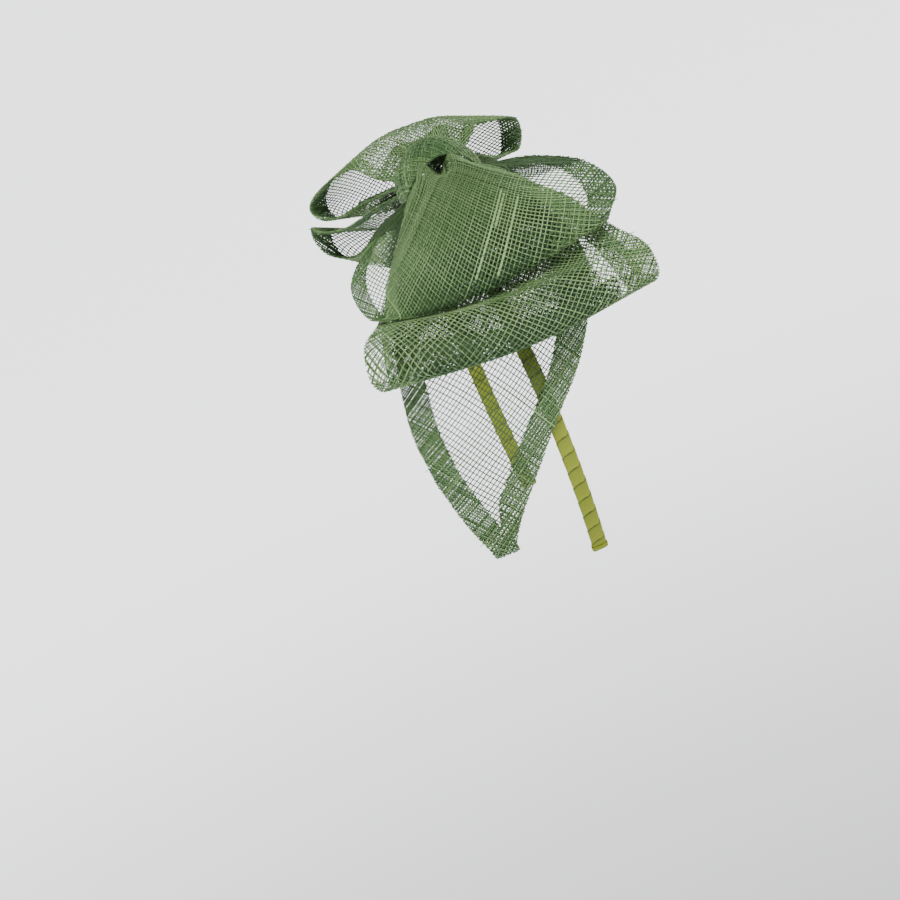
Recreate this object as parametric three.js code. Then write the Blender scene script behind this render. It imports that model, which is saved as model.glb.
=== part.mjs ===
import * as THREE from "three";

// Bow fascinator: a folded bow of stiff open-weave cloth on a narrow ribbon-covered headband.
// Millimetres. +X is the wearer's left, -Y the front, +Z up.
// The origin is on the inner face of the headband, at its crown.

// Headband
const crownRadius = 72; // inner face, from ear to ear over the crown
const bandWidth = 6;
const bandThickness = 2;
const bandBevel = 0.6;
const armLength = 55; // height of each arm below the widest place
const armTuck = 15; // how far each tip comes in from the widest place
const tipLength = 2; // folded ribbon that closes each tip
const tipLip = 0.25; // how far that fold stands proud of the band

// Cloth
const clothWall = 1;
const hemWall = 1.5; // the turned-in hem is double
const hemWidth = 9;
const seatGap = 0.3; // clearance between pieces that touch

// Pinch, where the layers are gathered and sewn on the band
const pinchGap = 1; // half the space between the near and far loops, under the knot
const pinchCentre = 5; // along the band's width, towards the back
const pinchSpread = 11.5; // half the width of the gathered strip
const topLayer = 5; // the tail is layer 0, the knot's ends are layer 1 and the loops lie over them

// Loops: reach is along the head from the crown, spread is half the strip's width, puff is a height
const nearUpper = { side: 1, reach: 82, spread: 50, puff: 18, upperLayer: 5, lowerLayer: 4, pleat: 1.6 };
const nearLower = { side: 1, reach: 78, spread: 50, puff: 18, upperLayer: 3, lowerLayer: 2, pleat: 0 };
const farUpper = { side: -1, reach: 72, spread: 48, puff: 18, upperLayer: 5, lowerLayer: 4, pleat: 1 };
const farLower = { side: -1, reach: 72, spread: 48, puff: 18, upperLayer: 3, lowerLayer: 2, pleat: 0 };
const pleatReach = 34; // how far the soft folds run out from the pinch before they fade
const pleatCount = 2.5;
const foldStart = 0.4; // share of a loop's rows where its strip starts to turn under

// Tail
const tailLength = 156; // from the crown, along the head
const tailSpread = 50;
const tailFall = 6; // how far its edges fall away round the head

// Knot
const knotRise = 22.5; // top of the arch over the band
const knotWidth = 15.5; // along the band
const knotCurl = 2; // how far its rolled edges turn in
const knotWall = 1.4;

// Fineness of the faceted walls
const loopStride = 3; // steps between two rows of a loop's table
const tailStride = 2;
const loopWidthSteps = 14;
const tailWidthSteps = 14;
const knotStride = 2;
const knotWidthSteps = 6;
const archSteps = 39; // odd, so that one facet is level at the crown
const armSteps = 8;

// Columns, for a strip's centre line, its front edge and its back edge: how far out along the head,
// how far across (past the gathered width, for an edge) and how high over its own layer at the pinch.
// They are shares of the strip's reach, spread and puff. Rows go out over the top and back underneath.
const guideColumns = [
  "centreOut", "centreAlong", "centreLift",
  "frontOut", "frontAlong", "frontLift",
  "backOut", "backAlong", "backLift",
];

const nearUpperRows = [
  [0.01, 0, 0, 0.01, 0, 0.03, 0.01, 0, 0.02],
  [0.11, 0, 0.13, 0.11, 0, 0.21, 0.11, 0.01, 0.07],
  [0.31, -0.04, 0.5, 0.36, 0.25, 0.12, 0.36, 0.15, 0.11],
  [0.53, -0.14, 0.66, 0.54, 0.46, 0.2, 0.53, 0.27, 0.22],
  [0.72, -0.24, 0.54, 0.65, 0.61, 0.22, 0.65, 0.45, 0.2],
  [0.82, -0.28, 0.13, 0.74, 0.69, 0.1, 0.74, 0.58, 0],
  [0.72, -0.26, 0, 0.69, 0.81, -0.03, 0.68, 0.7, -0.14],
  [0.53, -0.16, 0, 0.55, 0.81, 0.18, 0.55, 0.83, -0.26],
  [0.31, -0.06, 0.01, 0.38, 0.52, 0.24, 0.37, 0.72, -0.14],
  [0.18, -0.02, 0.02, 0.23, 0.25, 0.06, 0.24, 0.41, 0.04],
  [0.1, 0, 0.07, 0.1, 0.01, 0.07, 0.1, 0.01, 0.07],
  [0.01, 0, 0.03, 0.01, 0, 0.03, 0.01, 0, 0.03],
];

const nearLowerRows = [
  [0.01, 0, 0.04, 0.01, 0, 0.04, 0.01, 0, 0.04],
  [0.11, 0, 0.05, 0.11, 0.01, 0.05, 0.11, 0.01, 0.05],
  [0.35, -0.04, -0.02, 0.33, 0.25, -0.07, 0.34, 0.31, -0.13],
  [0.63, -0.08, -0.04, 0.56, 0.53, -0.2, 0.62, 0.57, -0.36],
  [0.85, -0.12, 0.01, 0.72, 0.73, -0.24, 0.78, 0.69, -0.3],
  [0.95, -0.12, 0.59, 0.78, 0.78, 0.07, 0.9, 0.79, -0.11],
  [1.08, -0.12, 0.68, 0.86, 0.94, 0.26, 0.98, 0.82, -0.12],
  [1.13, -0.16, 0.5, 1, 1, 0.2, 1.06, 0.8, -0.12],
  [1.07, -0.12, 0.06, 1.02, 0.88, -0.26, 1.05, 0.74, -0.5],
  [0.85, -0.1, -0.05, 0.77, 0.75, -0.3, 0.8, 0.65, -0.46],
  [0.56, -0.06, -0.04, 0.54, 0.51, -0.24, 0.56, 0.49, -0.34],
  [0.29, -0.02, -0.05, 0.3, 0.21, -0.13, 0.28, 0.23, -0.14],
  [0.12, 0, 0.05, 0.12, 0.01, 0.05, 0.12, 0.01, 0.05],
  [0.01, 0, 0.03, 0.01, 0, 0.03, 0.01, 0, 0.03],
];

const farUpperRows = [
  [0.01, 0, 0.16, 0.01, 0, 0.1, 0.01, 0, 0.1],
  [0.09, 0.02, 0.5, 0.09, 0, 0.1, 0.09, 0, 0.1],
  [0.18, 0.02, 0.98, 0.2, 0.18, 0.43, 0.19, 0.22, 0.57],
  [0.27, 0.04, 1.12, 0.29, 0.31, 0.78, 0.29, 0.3, 0.56],
  [0.42, 0.04, 1.1, 0.4, 0.54, 0.75, 0.35, 0.59, 0.42],
  [0.57, 0, 0.9, 0.48, 0.67, 0.64, 0.44, 0.64, 0.19],
  [0.72, -0.04, 0.57, 0.52, 0.68, 0.52, 0.5, 0.58, -0.03],
  [0.71, -0.04, 0.22, 0.5, 0.62, 0.28, 0.47, 0.47, -0.04],
  [0.53, -0.02, 0.04, 0.41, 0.49, 0.1, 0.41, 0.34, -0.07],
  [0.32, 0, 0, 0.29, 0.31, 0.11, 0.29, 0.2, 0.03],
  [0.11, 0, 0.08, 0.11, 0.01, 0.1, 0.11, 0.01, 0.08],
  [0.01, 0, 0.03, 0.01, 0, 0.03, 0.01, 0, 0.03],
];

const farLowerRows = [
  [0.01, 0, 0.04, 0.01, 0, 0.04, 0.01, 0, 0.04],
  [0.12, 0, 0.05, 0.12, 0.01, 0.05, 0.12, 0.01, 0.05],
  [0.33, 0, -0.05, 0.31, 0.28, 0, 0.34, 0.26, -0.11],
  [0.56, -0.02, -0.07, 0.44, 0.51, -0.02, 0.52, 0.45, -0.24],
  [0.78, -0.02, -0.03, 0.55, 0.68, 0.26, 0.67, 0.55, -0.36],
  [0.92, -0.04, 0.29, 0.59, 0.72, 0.53, 0.82, 0.59, -0.38],
  [1.09, -0.06, 0.23, 0.67, 0.73, 0.42, 0.94, 0.57, -0.44],
  [1.1, -0.06, -0.05, 0.73, 0.66, 0.15, 0.94, 0.49, -0.52],
  [0.86, -0.04, -0.13, 0.67, 0.47, -0.26, 0.78, 0.36, -0.56],
  [0.55, -0.02, -0.14, 0.47, 0.24, -0.2, 0.53, 0.22, -0.39],
  [0.29, 0, -0.1, 0.28, 0.09, -0.15, 0.29, 0.07, -0.16],
  [0.13, 0, 0.05, 0.13, 0.01, 0.05, 0.13, 0.01, 0.05],
  [0.01, 0, 0.03, 0.01, 0, 0.03, 0.01, 0, 0.03],
];

const tailRows = [
  [-0.04, 0, 0.03, -0.04, 0, 0.03, -0.04, 0, 0.03],
  [0.1, -0.01, 0.03, 0.1, 0.11, 0, 0.1, 0.09, -0.05],
  [0.22, -0.03, 0.04, 0.22, 0.35, -0.26, 0.22, 0.29, -0.42],
  [0.33, -0.09, 0.05, 0.33, 0.59, -0.67, 0.33, 0.41, -0.76],
  [0.45, -0.18, 0.07, 0.45, 0.74, -1.01, 0.45, 0.37, -0.84],
  [0.55, -0.28, 0.07, 0.55, 0.82, -1.26, 0.55, 0.2, -0.59],
  [0.64, -0.42, 0.06, 0.64, 0.86, -1.26, 0.64, -0.02, -0.11],
  [0.72, -0.56, -0.01, 0.72, 0.85, -1.18, 0.72, -0.29, 0.14],
  [0.78, -0.64, -0.09, 0.78, 0.83, -1.09, 0.78, -0.47, 0.16],
  [0.9, -0.74, -0.34, 0.9, 0.74, -0.84, 0.9, -0.77, -0.18],
  [0.97, -0.78, -0.34, 0.97, 0.66, -0.51, 0.97, -0.9, -0.26],
  [1, -0.76, -0.34, 1, 0.63, -0.42, 1, -0.9, -0.31],
];

// Columns: a place along the knot's strip, across the band from the middle of the pinch and above
// the knot's own layer, as shares of the gathered half width and of the knot's rise.
const archColumns = ["across", "lift"];
const archRows = [
  [-0.75, 0],
  [-1.15, 0],
  [-1.4, 0.16],
  [-1.38, 0.42],
  [-1.12, 0.66],
  [-0.5, 0.91],
  [0.17, 1],
  [0.8, 0.88],
  [1.25, 0.58],
  [1.42, 0.3],
  [1.36, 0.08],
  [1.05, 0],
  [0.6, 0],
];

const cloth = new THREE.MeshStandardMaterial({
  color: 0x7fa077,
  roughness: 0.85,
  metalness: 0,
  flatShading: true,
});
const ribbon = new THREE.MeshStandardMaterial({
  color: 0xa9bb4a,
  roughness: 0.4,
  metalness: 0,
});

// Rows of a table as objects with the columns' names.
function table(columns, rows) {
  return rows.map((row) => Object.fromEntries(columns.map((name, i) => [name, row[i]])));
}

const archLength = (crownRadius * Math.PI) / 2; // from the crown to the widest place

// The band's inner face at a distance from the crown: a point in X and Z, and its outward direction.
function bandAt(distance) {
  const side = Math.sign(distance) || 1;
  const along = Math.abs(distance);
  if (along <= archLength) {
    const turn = along / crownRadius;
    return {
      x: side * crownRadius * Math.sin(turn),
      z: crownRadius * (Math.cos(turn) - 1),
      outX: side * Math.sin(turn),
      outZ: Math.cos(turn),
    };
  }
  const share = (along - archLength) / armLength;
  const slope = (2 * armTuck * share) / armLength;
  const scale = Math.hypot(1, slope);
  return {
    x: side * (crownRadius - armTuck * share ** 2),
    z: -crownRadius - armLength * share,
    outX: side / scale,
    outZ: -slope / scale,
  };
}

// A point over the head: distance from the crown, place across the band, height over the band's outer face.
function onHead(distance, along, lift) {
  const base = bandAt(distance);
  const out = bandThickness + lift;
  return new THREE.Vector3(base.x + base.outX * out, along, base.z + base.outZ * out);
}

// Height of the middle of a cloth layer over the band, counted from the one sewn on first.
function layerLift(layer) {
  return seatGap + hemWall / 2 + layer * (hemWall + seatGap);
}

// The centre line and the two edges of a strip, as smooth lines through its rows.
function guideLines(rows, reach, spread) {
  const sections = table(guideColumns, rows);
  const starts = { front: -pinchSpread, centre: 0, back: pinchSpread };
  const ways = { front: -1, centre: 1, back: 1 };
  return ["front", "centre", "back"].map((edge) => {
    const points = sections.map(
      (row) =>
        new THREE.Vector3(
          row[`${edge}Out`] * reach,
          pinchCentre + starts[edge] + ways[edge] * row[`${edge}Along`] * spread,
          row[`${edge}Lift`],
        ),
    );
    return new THREE.CatmullRomCurve3(points, false, "catmullrom", 0.5);
  });
}

function smooth(value) {
  const share = THREE.MathUtils.clamp(value, 0, 1);
  return share * share * (3 - 2 * share);
}

// Closed geometry of rings with as many points each: every ring is joined to the next,
// and the cap gives the triangles that close the last ring, as places round it.
function ringGeometry(rings, cap) {
  const count = rings[0].length;
  const last = (rings.length - 1) * count;
  const index = [];
  for (let start = 0; start < last; start += count)
    for (let j = 0; j < count; j++) {
      const a = start + j;
      const b = start + ((j + 1) % count);
      index.push(a, b, a + count, b, b + count, a + count);
    }
  for (const [a, b, c] of cap(count)) {
    index.push(a, c, b);
    index.push(last + a, last + b, last + c);
  }
  const geometry = new THREE.BufferGeometry();
  const positions = rings.flat().flatMap((point) => point.toArray());
  geometry.setAttribute("position", new THREE.Float32BufferAttribute(positions, 3));
  geometry.setIndex(index);
  geometry.computeVertexNormals();
  return geometry;
}

// The triangles of a round end: a fan from its first point.
function fanCap(count) {
  return Array.from({ length: count - 2 }, (_, j) => [0, j + 1, j + 2]);
}

// The triangles of a wall's end, whose ring runs out over one face and back along the other.
function stripCap(count) {
  const across = count / 2 - 1;
  return Array.from({ length: across }, (_, j) => {
    const back = count - 1 - j;
    return [
      [j, j + 1, back],
      [j + 1, back - 1, back],
    ];
  }).flat();
}

// A wall of cloth: a surface of (length share, width place from -1 to 1), given its thickness at each point.
// The ring at each length step runs across the outer face and back along the inner one.
function clothGeometry(surface, lengthSteps, widthSteps, thicknessAt) {
  const nudge = 1e-3;
  const rings = [];
  for (let i = 0; i <= lengthSteps; i++) {
    const length = i / lengthSteps;
    const outer = [];
    const inner = [];
    for (let j = 0; j <= widthSteps; j++) {
      const width = (2 * j) / widthSteps - 1;
      const alongLength = surface(Math.min(length + nudge, 1), width).sub(
        surface(Math.max(length - nudge, 0), width),
      );
      const alongWidth = surface(length, Math.min(width + nudge, 1)).sub(
        surface(length, Math.max(width - nudge, -1)),
      );
      const normal = alongWidth.cross(alongLength).normalize();
      const half = thicknessAt(length, width) / 2;
      const middle = surface(length, width);
      outer.push(middle.clone().addScaledVector(normal, half));
      inner.push(middle.clone().addScaledVector(normal, -half));
    }
    rings.push([...outer, ...inner.reverse()]);
  }
  return ringGeometry(rings, stripCap);
}

// Thickness of a strip: double in its two hems.
function stripThickness(surface) {
  return (length, width) => {
    const halfWidth = surface(length, -1).distanceTo(surface(length, 1)) / 2;
    return (1 - Math.abs(width)) * halfWidth < hemWidth ? hemWall : clothWall;
  };
}

// The point of a strip between its three guide lines: a parabola from the front edge to the back one.
function acrossStrip(lines, length, width) {
  const [front, centre, back] = lines.map((line) => line.getPoint(length));
  const slant = back.clone().sub(front).multiplyScalar(width / 2);
  const bend = back.clone().add(front).multiplyScalar(0.5).sub(centre);
  return centre.clone().add(slant).addScaledVector(bend, width * width);
}

// Height of one share of a strip's lift: the room under the knot, then the puff past it.
function liftShare(distance, puff) {
  const room = knotRise - layerLift(topLayer);
  return THREE.MathUtils.lerp(room, puff, smooth((distance - knotWidth / 2) / knotWidth));
}

function loopSurface(loop, rows) {
  const lines = guideLines(rows, loop.reach, loop.spread);
  return (length, width) => {
    const place = acrossStrip(lines, length, width);
    const turned = smooth((length - foldStart) / (1 - 2 * foldStart));
    const base = THREE.MathUtils.lerp(layerLift(loop.upperLayer), layerLift(loop.lowerLayer), turned);
    const pleat = loop.pleat * (1 - turned) * (1 - smooth(place.x / pleatReach));
    const ripple = (pleat * (1 - Math.cos(Math.PI * pleatCount * width)) * (1 - width ** 4)) / 2;
    const lift = base + place.z * liftShare(place.x, loop.puff) + ripple;
    return onHead(loop.side * (place.x + pinchGap), place.y, lift);
  };
}

function loopMesh(name, loop, rows) {
  const surface = loopSurface(loop, rows);
  const facing = (length, width) => surface(length, loop.side * width);
  const steps = (rows.length - 1) * loopStride;
  return named(name, clothGeometry(facing, steps, loopWidthSteps, stripThickness(surface)), cloth);
}

function tailMesh(name) {
  const lines = guideLines(tailRows, tailLength, tailSpread);
  const surface = (length, width) => {
    const place = acrossStrip(lines, length, width);
    return onHead(place.x, place.y, layerLift(0) + place.z * tailFall);
  };
  const steps = (tailRows.length - 1) * tailStride;
  return named(name, clothGeometry(surface, steps, tailWidthSteps, stripThickness(surface)), cloth);
}

function knotMesh(name) {
  const points = table(archColumns, archRows).map(
    (row) =>
      new THREE.Vector3(
        0,
        pinchCentre + row.across * pinchSpread,
        layerLift(1) + row.lift * (knotRise - layerLift(1)),
      ),
  );
  const line = new THREE.CatmullRomCurve3(points, false, "catmullrom", 0.5);
  const surface = (length, width) => {
    const place = line.getPoint(length);
    const tangent = line.getTangent(length);
    const curl = knotCurl * Math.sqrt(Math.sin(Math.PI * length)) * width ** 2;
    // Inwards is the tangent turned a quarter round the headband's line.
    const along = place.y + tangent.z * curl;
    const lift = place.z - tangent.y * curl;
    return onHead((width * knotWidth) / 2, along, lift);
  };
  const geometry = clothGeometry(
    (length, width) => surface(length, -width),
    (archRows.length - 1) * knotStride,
    knotWidthSteps,
    () => knotWall,
  );
  return named(name, geometry, cloth);
}

const archStep = (2 * archLength) / archSteps;
// Facets lie on the arc, so their corners stand this much outside it.
const cornerStand = crownRadius / Math.cos(archStep / 2 / crownRadius) - crownRadius;

// One ring of the band's bevelled section, grown by a margin, at a distance from the crown.
function bandRing(distance, margin) {
  const half = bandWidth / 2;
  const quarter = [
    [half + margin, bandBevel],
    [half + margin, bandThickness - bandBevel],
    [half - bandBevel, bandThickness + margin],
  ];
  const section = [
    [half - bandBevel, -margin],
    ...quarter,
    ...quarter.toReversed().map(([along, out]) => [-along, out]),
    [bandBevel - half, -margin],
  ];
  const base = bandAt(distance);
  const stand = Math.abs(distance) < archLength ? cornerStand : 0;
  return section.map(
    ([along, out]) =>
      new THREE.Vector3(
        base.x + base.outX * (out + stand),
        along,
        base.z + base.outZ * (out + stand),
      ),
  );
}

function headbandMesh(name) {
  const half = [];
  for (let i = 0.5; i <= archSteps / 2; i++) half.push(archStep * i);
  for (let i = 1; i <= armSteps; i++) half.push(archLength + (armLength * i) / armSteps);
  const distances = [...half.toReversed().map((distance) => -distance), ...half];
  const rings = distances.map((distance) => bandRing(distance, 0));
  return named(name, ringGeometry(rings, fanCap), ribbon);
}

// A fold of ribbon that closes one end of the band, a seat gap past it.
function tipMesh(name, side) {
  const start = archLength + armLength + seatGap;
  const rings = [
    bandRing(side * start, tipLip),
    bandRing(side * (start + tipLength - bandBevel), tipLip),
    bandRing(side * (start + tipLength), 0),
  ];
  return named(name, ringGeometry(side > 0 ? rings : rings.toReversed(), fanCap), ribbon);
}

function named(name, geometry, material) {
  const mesh = new THREE.Mesh(geometry, material);
  mesh.name = name;
  return mesh;
}

const fascinator = new THREE.Group();
fascinator.name = "fascinator";
fascinator.add(
  headbandMesh("headband"),
  tipMesh("band_tip_left", 1),
  tipMesh("band_tip_right", -1),
  tailMesh("tail"),
  loopMesh("upper_near_loop", nearUpper, nearUpperRows),
  loopMesh("lower_near_loop", nearLower, nearLowerRows),
  loopMesh("upper_far_loop", farUpper, farUpperRows),
  loopMesh("lower_far_loop", farLower, farLowerRows),
  knotMesh("knot_wrap"),
);

export default fascinator;
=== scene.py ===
"""Bow fascinator of open woven straw, sewn on a narrow headband wound in satin ribbon.

Lengths are in millimetres until a mesh is made. +X is the wearer's left, -Y the front and +Z up,
and the origin is on the inner face of the headband at its crown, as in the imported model.
"""

import logging
import math
from dataclasses import dataclass, field
from enum import Enum
from typing import Any, Callable, Iterator, Optional, Union

import bmesh
import bpy
import numpy as np
from bpy.types import ColorRamp, Material, Mesh, NodeSocket, Object
from mathutils import Matrix, Vector

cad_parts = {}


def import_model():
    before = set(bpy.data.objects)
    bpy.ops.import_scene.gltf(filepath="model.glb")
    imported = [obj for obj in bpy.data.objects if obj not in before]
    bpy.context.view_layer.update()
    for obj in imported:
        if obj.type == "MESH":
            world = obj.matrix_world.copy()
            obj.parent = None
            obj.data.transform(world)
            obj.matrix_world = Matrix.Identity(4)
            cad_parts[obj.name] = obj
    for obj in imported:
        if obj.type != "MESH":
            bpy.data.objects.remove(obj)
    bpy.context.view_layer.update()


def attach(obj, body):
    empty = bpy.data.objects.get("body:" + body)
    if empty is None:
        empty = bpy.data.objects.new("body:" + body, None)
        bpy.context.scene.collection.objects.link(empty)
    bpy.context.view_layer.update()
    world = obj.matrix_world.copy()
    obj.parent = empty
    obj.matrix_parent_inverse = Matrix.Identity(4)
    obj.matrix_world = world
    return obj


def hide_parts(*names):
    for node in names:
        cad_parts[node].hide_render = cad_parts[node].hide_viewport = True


logging.basicConfig(level=logging.INFO, format="%(message)s")
log = logging.getLogger("fascinator")

MM = 0.001
BODY = "root"
Array = np.ndarray
Number = Union[float, Array]
Pair = tuple[float, float]
Triple = tuple[float, float, float]
Colour = Triple
Rows = tuple[tuple[float, ...], ...]
# A value for each place, given its distances along and across a flat strip
OnStrip = Callable[[Array, Array], Array]


class Slot(Enum):
    """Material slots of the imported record."""

    CLOTH = "cloth"
    RIBBON = "ribbon"


class Side(Enum):
    """Which side of the knot a loop lies on: the near one is at +X."""

    NEAR = 1
    FAR = -1


class Grain(Enum):
    """The two directions of thread in a plain weave."""

    WARP = 1
    WEFT = -1


# Shader nodes


class Wire:
    """One output of a shader node, on which Python's operators add Math nodes."""

    def __init__(self, nodes: "FinishNodes", socket: NodeSocket) -> None:
        """Keeps the socket and the nodes it belongs to."""
        self.nodes = nodes
        self.socket = socket

    def _maths(self, operation: str, first: Any, second: Any) -> "Wire":
        """Adds one Math node."""
        return self.nodes.add("ShaderNodeMath", {"operation": operation}, {0: first, 1: second})

    def __add__(self, other: Any) -> "Wire":
        """Sum."""
        return self._maths("ADD", self, other)

    def __sub__(self, other: Any) -> "Wire":
        """Difference."""
        return self._maths("SUBTRACT", self, other)

    def __mul__(self, other: Any) -> "Wire":
        """Product."""
        return self._maths("MULTIPLY", self, other)


class FinishNodes:
    """The nodes of one material, round its Principled shader."""

    def __init__(self, name: str, roughness: float, **constants: Any) -> None:
        """Makes the material.

        Args:
            name: the material's name.
            roughness: the shader's roughness, where nothing is linked to it.
            constants: values of other sockets, with underscores for the spaces in their names.
        """
        self.material = bpy.data.materials.new(name)
        self.material.use_nodes = True
        self.tree = self.material.node_tree
        self.shader = self.tree.nodes["Principled BSDF"]
        self.shader.inputs["Roughness"].default_value = roughness
        for key, value in constants.items():
            self.shader.inputs[key.replace("_", " ")].default_value = value

    def add(self, kind: str, settings: dict[str, Any], inputs: dict[Any, Any],
            output: int = 0) -> Wire:
        """Adds a node of any kind.

        Args:
            kind: the node's type.
            settings: its properties, or the stops of a ramp, which are set first.
            inputs: values or wires for its sockets, by name or place.
            output: the place of the output that is wanted.

        Returns:
            The wire from that output.
        """
        node = self.tree.nodes.new(kind)
        for key, value in settings.items():
            if key == "stops":
                self._set_stops(node.color_ramp, value)
            else:
                setattr(node, key, value)
        for key, value in inputs.items():
            self.join(value, node.inputs[key])
        return Wire(self, node.outputs[output])

    def join(self, value: Any, socket: NodeSocket) -> None:
        """Links a wire to a socket, or sets the socket's own value."""
        if isinstance(value, Wire):
            self.tree.links.new(value.socket, socket)
        else:
            socket.default_value = value

    def feed(self, name: str, value: Wire) -> None:
        """Links a wire to a socket of the shader."""
        self.join(value, self.shader.inputs[name])

    def _set_stops(self, ramp: ColorRamp, stops: list[tuple[float, Colour]]) -> None:
        """Sets the stops of a colour ramp."""
        for place, (position, colour) in enumerate(stops):
            element = ramp.elements[place] if place < 2 else ramp.elements.new(position)
            element.position = position
            element.color = (*colour, 1)

    def coordinates(self) -> Wire:
        """Object coordinates, in metres."""
        return self.add("ShaderNodeTexCoord", {}, {}, output=3)

    def attribute(self, name: str, output: int) -> Wire:
        """A named attribute of the mesh, as a vector (1) or a number (2)."""
        return self.add("ShaderNodeAttribute", {"attribute_name": name}, {}, output)

    def noise(self, place: Wire, scale: float, detail: float = 2) -> Wire:
        """Noise from 0 to 1 at a place."""
        inputs = {"Vector": place, "Scale": scale, "Detail": detail}
        return self.add("ShaderNodeTexNoise", {}, inputs)

    def stretched(self, place: Wire, scale: Triple) -> Wire:
        """A place scaled on each axis."""
        return self.add("ShaderNodeVectorMath", {"operation": "MULTIPLY"}, {0: place, 1: scale})

    def ramp(self, value: Wire, stops: list[tuple[float, Colour]]) -> Wire:
        """The colour of a ramp at a value."""
        return self.add("ShaderNodeValToRGB", {"stops": stops}, {0: value})

    def mix(self, share: Any, first: Any, second: Any) -> Wire:
        """Mixes two colours by a share."""
        inputs = {0: share, 6: first, 7: second}
        return self.add("ShaderNodeMix", {"data_type": "RGBA"}, inputs, output=2)

    def bump(self, height: Wire, distance: float, strength: float) -> None:
        """Feeds the shader's normal from a height."""
        inputs = {"Height": height, "Distance": distance, "Strength": strength}
        self.feed("Normal", self.add("ShaderNodeBump", {}, inputs))


@dataclass(frozen=True)
class StrawFinish:
    """Dyed bast straw: sage threads that vary in tone, with paler slubs and a fine fibre grain, and
    painted light and shade in each thread's tone.
    """

    name: str = "sage_straw"
    # The ramp from deep to pale carries the threads' own tone and their painted light and shade:
    # deep for the shaded inner layers, pale for the lit top sheet.
    deep: Colour = (0.006, 0.024, 0.005)
    body: Colour = (0.032, 0.095, 0.022)
    pale: Colour = (0.25, 0.4, 0.15)
    warm: Colour = (0.055, 0.11, 0.014)
    patch_scale: float = 55.0
    fibre_scale: Triple = (0.9, 14.0, 1.0)
    fibre_detail: float = 3.0
    body_stop: float = 0.45
    tone_gain: float = 0.8
    tone_drop: float = 0.02
    fibre_gain: float = 0.25
    warm_gain: float = 0.8
    warm_drop: float = 0.25
    roughness: float = 0.52
    roughness_swing: float = 0.3
    sheen: float = 0.05
    gloss: float = 0.5
    bump_depth: float = 0.0001
    bump_strength: float = 0.6

    def make(self) -> Material:
        """Makes the material."""
        nodes = FinishNodes(self.name, self.roughness, Sheen_Weight=self.sheen,
                            Specular_IOR_Level=self.gloss)
        tone = nodes.attribute("tone", 2)
        grain = nodes.stretched(nodes.attribute("fibre", 1), self.fibre_scale)
        fibre = nodes.noise(grain, 1.0, self.fibre_detail)
        patches = nodes.noise(nodes.coordinates(), self.patch_scale)
        stops = [(0.0, self.deep), (self.body_stop, self.body), (1.0, self.pale)]
        # The tone carries painted light and shade as well as the threads' own tone.
        dyed_and_shaded = nodes.ramp(tone * self.tone_gain + fibre * self.fibre_gain - self.tone_drop, stops)
        warmth = patches * self.warm_gain - self.warm_drop
        nodes.feed("Base Color", nodes.mix(warmth, dyed_and_shaded, (*self.warm, 1)))
        lowest = self.roughness - self.roughness_swing / 2
        nodes.feed("Roughness", fibre * self.roughness_swing + lowest)
        nodes.bump(fibre, self.bump_depth, self.bump_strength)
        return nodes.material


@dataclass(frozen=True)
class SatinFinish:
    """Satin ribbon: fine ribs along the ribbon and a painted shade line beside each wound edge,
    where one wind lies over the next.
    """

    name: str = "lime_satin"
    deep: Colour = (0.006, 0.01, 0.001)
    body: Colour = (0.135, 0.175, 0.006)
    pale: Colour = (0.2, 0.235, 0.01)
    edge_shade_stops: Pair = (0.08, 0.15)
    rib_scale: Triple = (0.5, 40.0, 1.0)
    patch_scale: float = 160.0
    patch_gain: float = 0.5
    roughness: float = 0.42
    roughness_swing: float = 0.2
    gloss: float = 0.28
    bump_depth: float = 0.00006
    bump_strength: float = 0.5

    def make(self) -> Material:
        """Makes the material."""
        nodes = FinishNodes(self.name, self.roughness, Specular_IOR_Level=self.gloss)
        wound = nodes.attribute("wound", 2)
        ribs = nodes.noise(nodes.stretched(nodes.attribute("fibre", 1), self.rib_scale), 1.0)
        patches = nodes.noise(nodes.coordinates(), self.patch_scale)
        # The deep stops paint a shade line beside each wound edge.
        line, face = self.edge_shade_stops
        stops = [(0.0, self.deep), (line, self.deep), (face, self.body), (1.0, self.pale)]
        dyed_and_shaded = nodes.ramp(wound, stops)
        nodes.feed("Base Color", nodes.mix(patches * self.patch_gain, dyed_and_shaded, (*self.pale, 1)))
        lowest = self.roughness - self.roughness_swing / 2
        nodes.feed("Roughness", ribs * self.roughness_swing + lowest)
        nodes.bump(ribs, self.bump_depth, self.bump_strength)
        return nodes.material


# Shapes that the pieces share


def smooth(value: Number) -> Number:
    """Eases from 0 to 1."""
    share = np.clip(value, 0, 1)
    return share * share * (3 - 2 * share)


def blend(first: Number, second: Number, share: Number) -> Number:
    """The value between two others at a share."""
    return first + (second - first) * share


def through(points: Array, share: Array) -> Array:
    """A smooth line through rows of points, at shares of its length from 0 to 1."""
    count = len(points)
    padded = np.vstack([2 * points[0] - points[1], points, 2 * points[-1] - points[-2]])
    place = np.clip(share, 0, 1) * (count - 1)
    start = np.minimum(place.astype(int), count - 2)
    t = (place - start)[:, None]
    before, first, second, after = (padded[start + k] for k in range(4))
    leave, arrive = (second - first + first - before) / 2, (after - first) / 2
    bend = -3 * first + 3 * second - 2 * leave - arrive
    turn = 2 * first - 2 * second + leave + arrive
    return first + leave * t + bend * t**2 + turn * t**3


def unit(vectors: Array) -> Array:
    """Vectors scaled to length 1."""
    return vectors / np.maximum(np.linalg.norm(vectors, axis=1, keepdims=True), 1e-9)


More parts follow.
